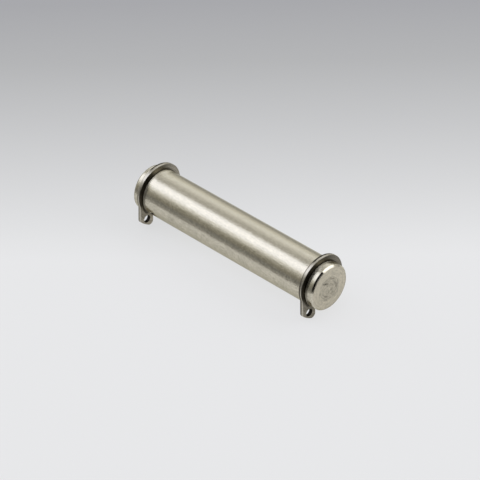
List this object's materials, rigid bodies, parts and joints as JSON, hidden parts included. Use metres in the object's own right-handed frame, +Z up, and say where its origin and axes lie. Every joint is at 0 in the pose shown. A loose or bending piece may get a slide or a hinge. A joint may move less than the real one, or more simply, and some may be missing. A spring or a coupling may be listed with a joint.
{
  "type": "clevis pin with retaining rings",
  "caption": "Turned steel clevis pin with chamfered ends, held by an external retaining ring sprung into a groove near each end.",
  "frame": {"origin": "on the pin's axis, half way along its length", "axes": "+X along the pin towards the near end, +Z up, away from the rings' gaps and lugs, +Y to the far side"},
  "size_m": [0.0616, 0.014, 0.016],
  "materials": {
    "pin_steel": "fine turned, satin",
    "ring_steel": "stamped spring steel, tumbled"
  },
  "bodies": {
    "root": {"pin": "pin_steel", "near_ring": "ring_steel", "far_ring": "ring_steel"}
  },
  "joints": []
}
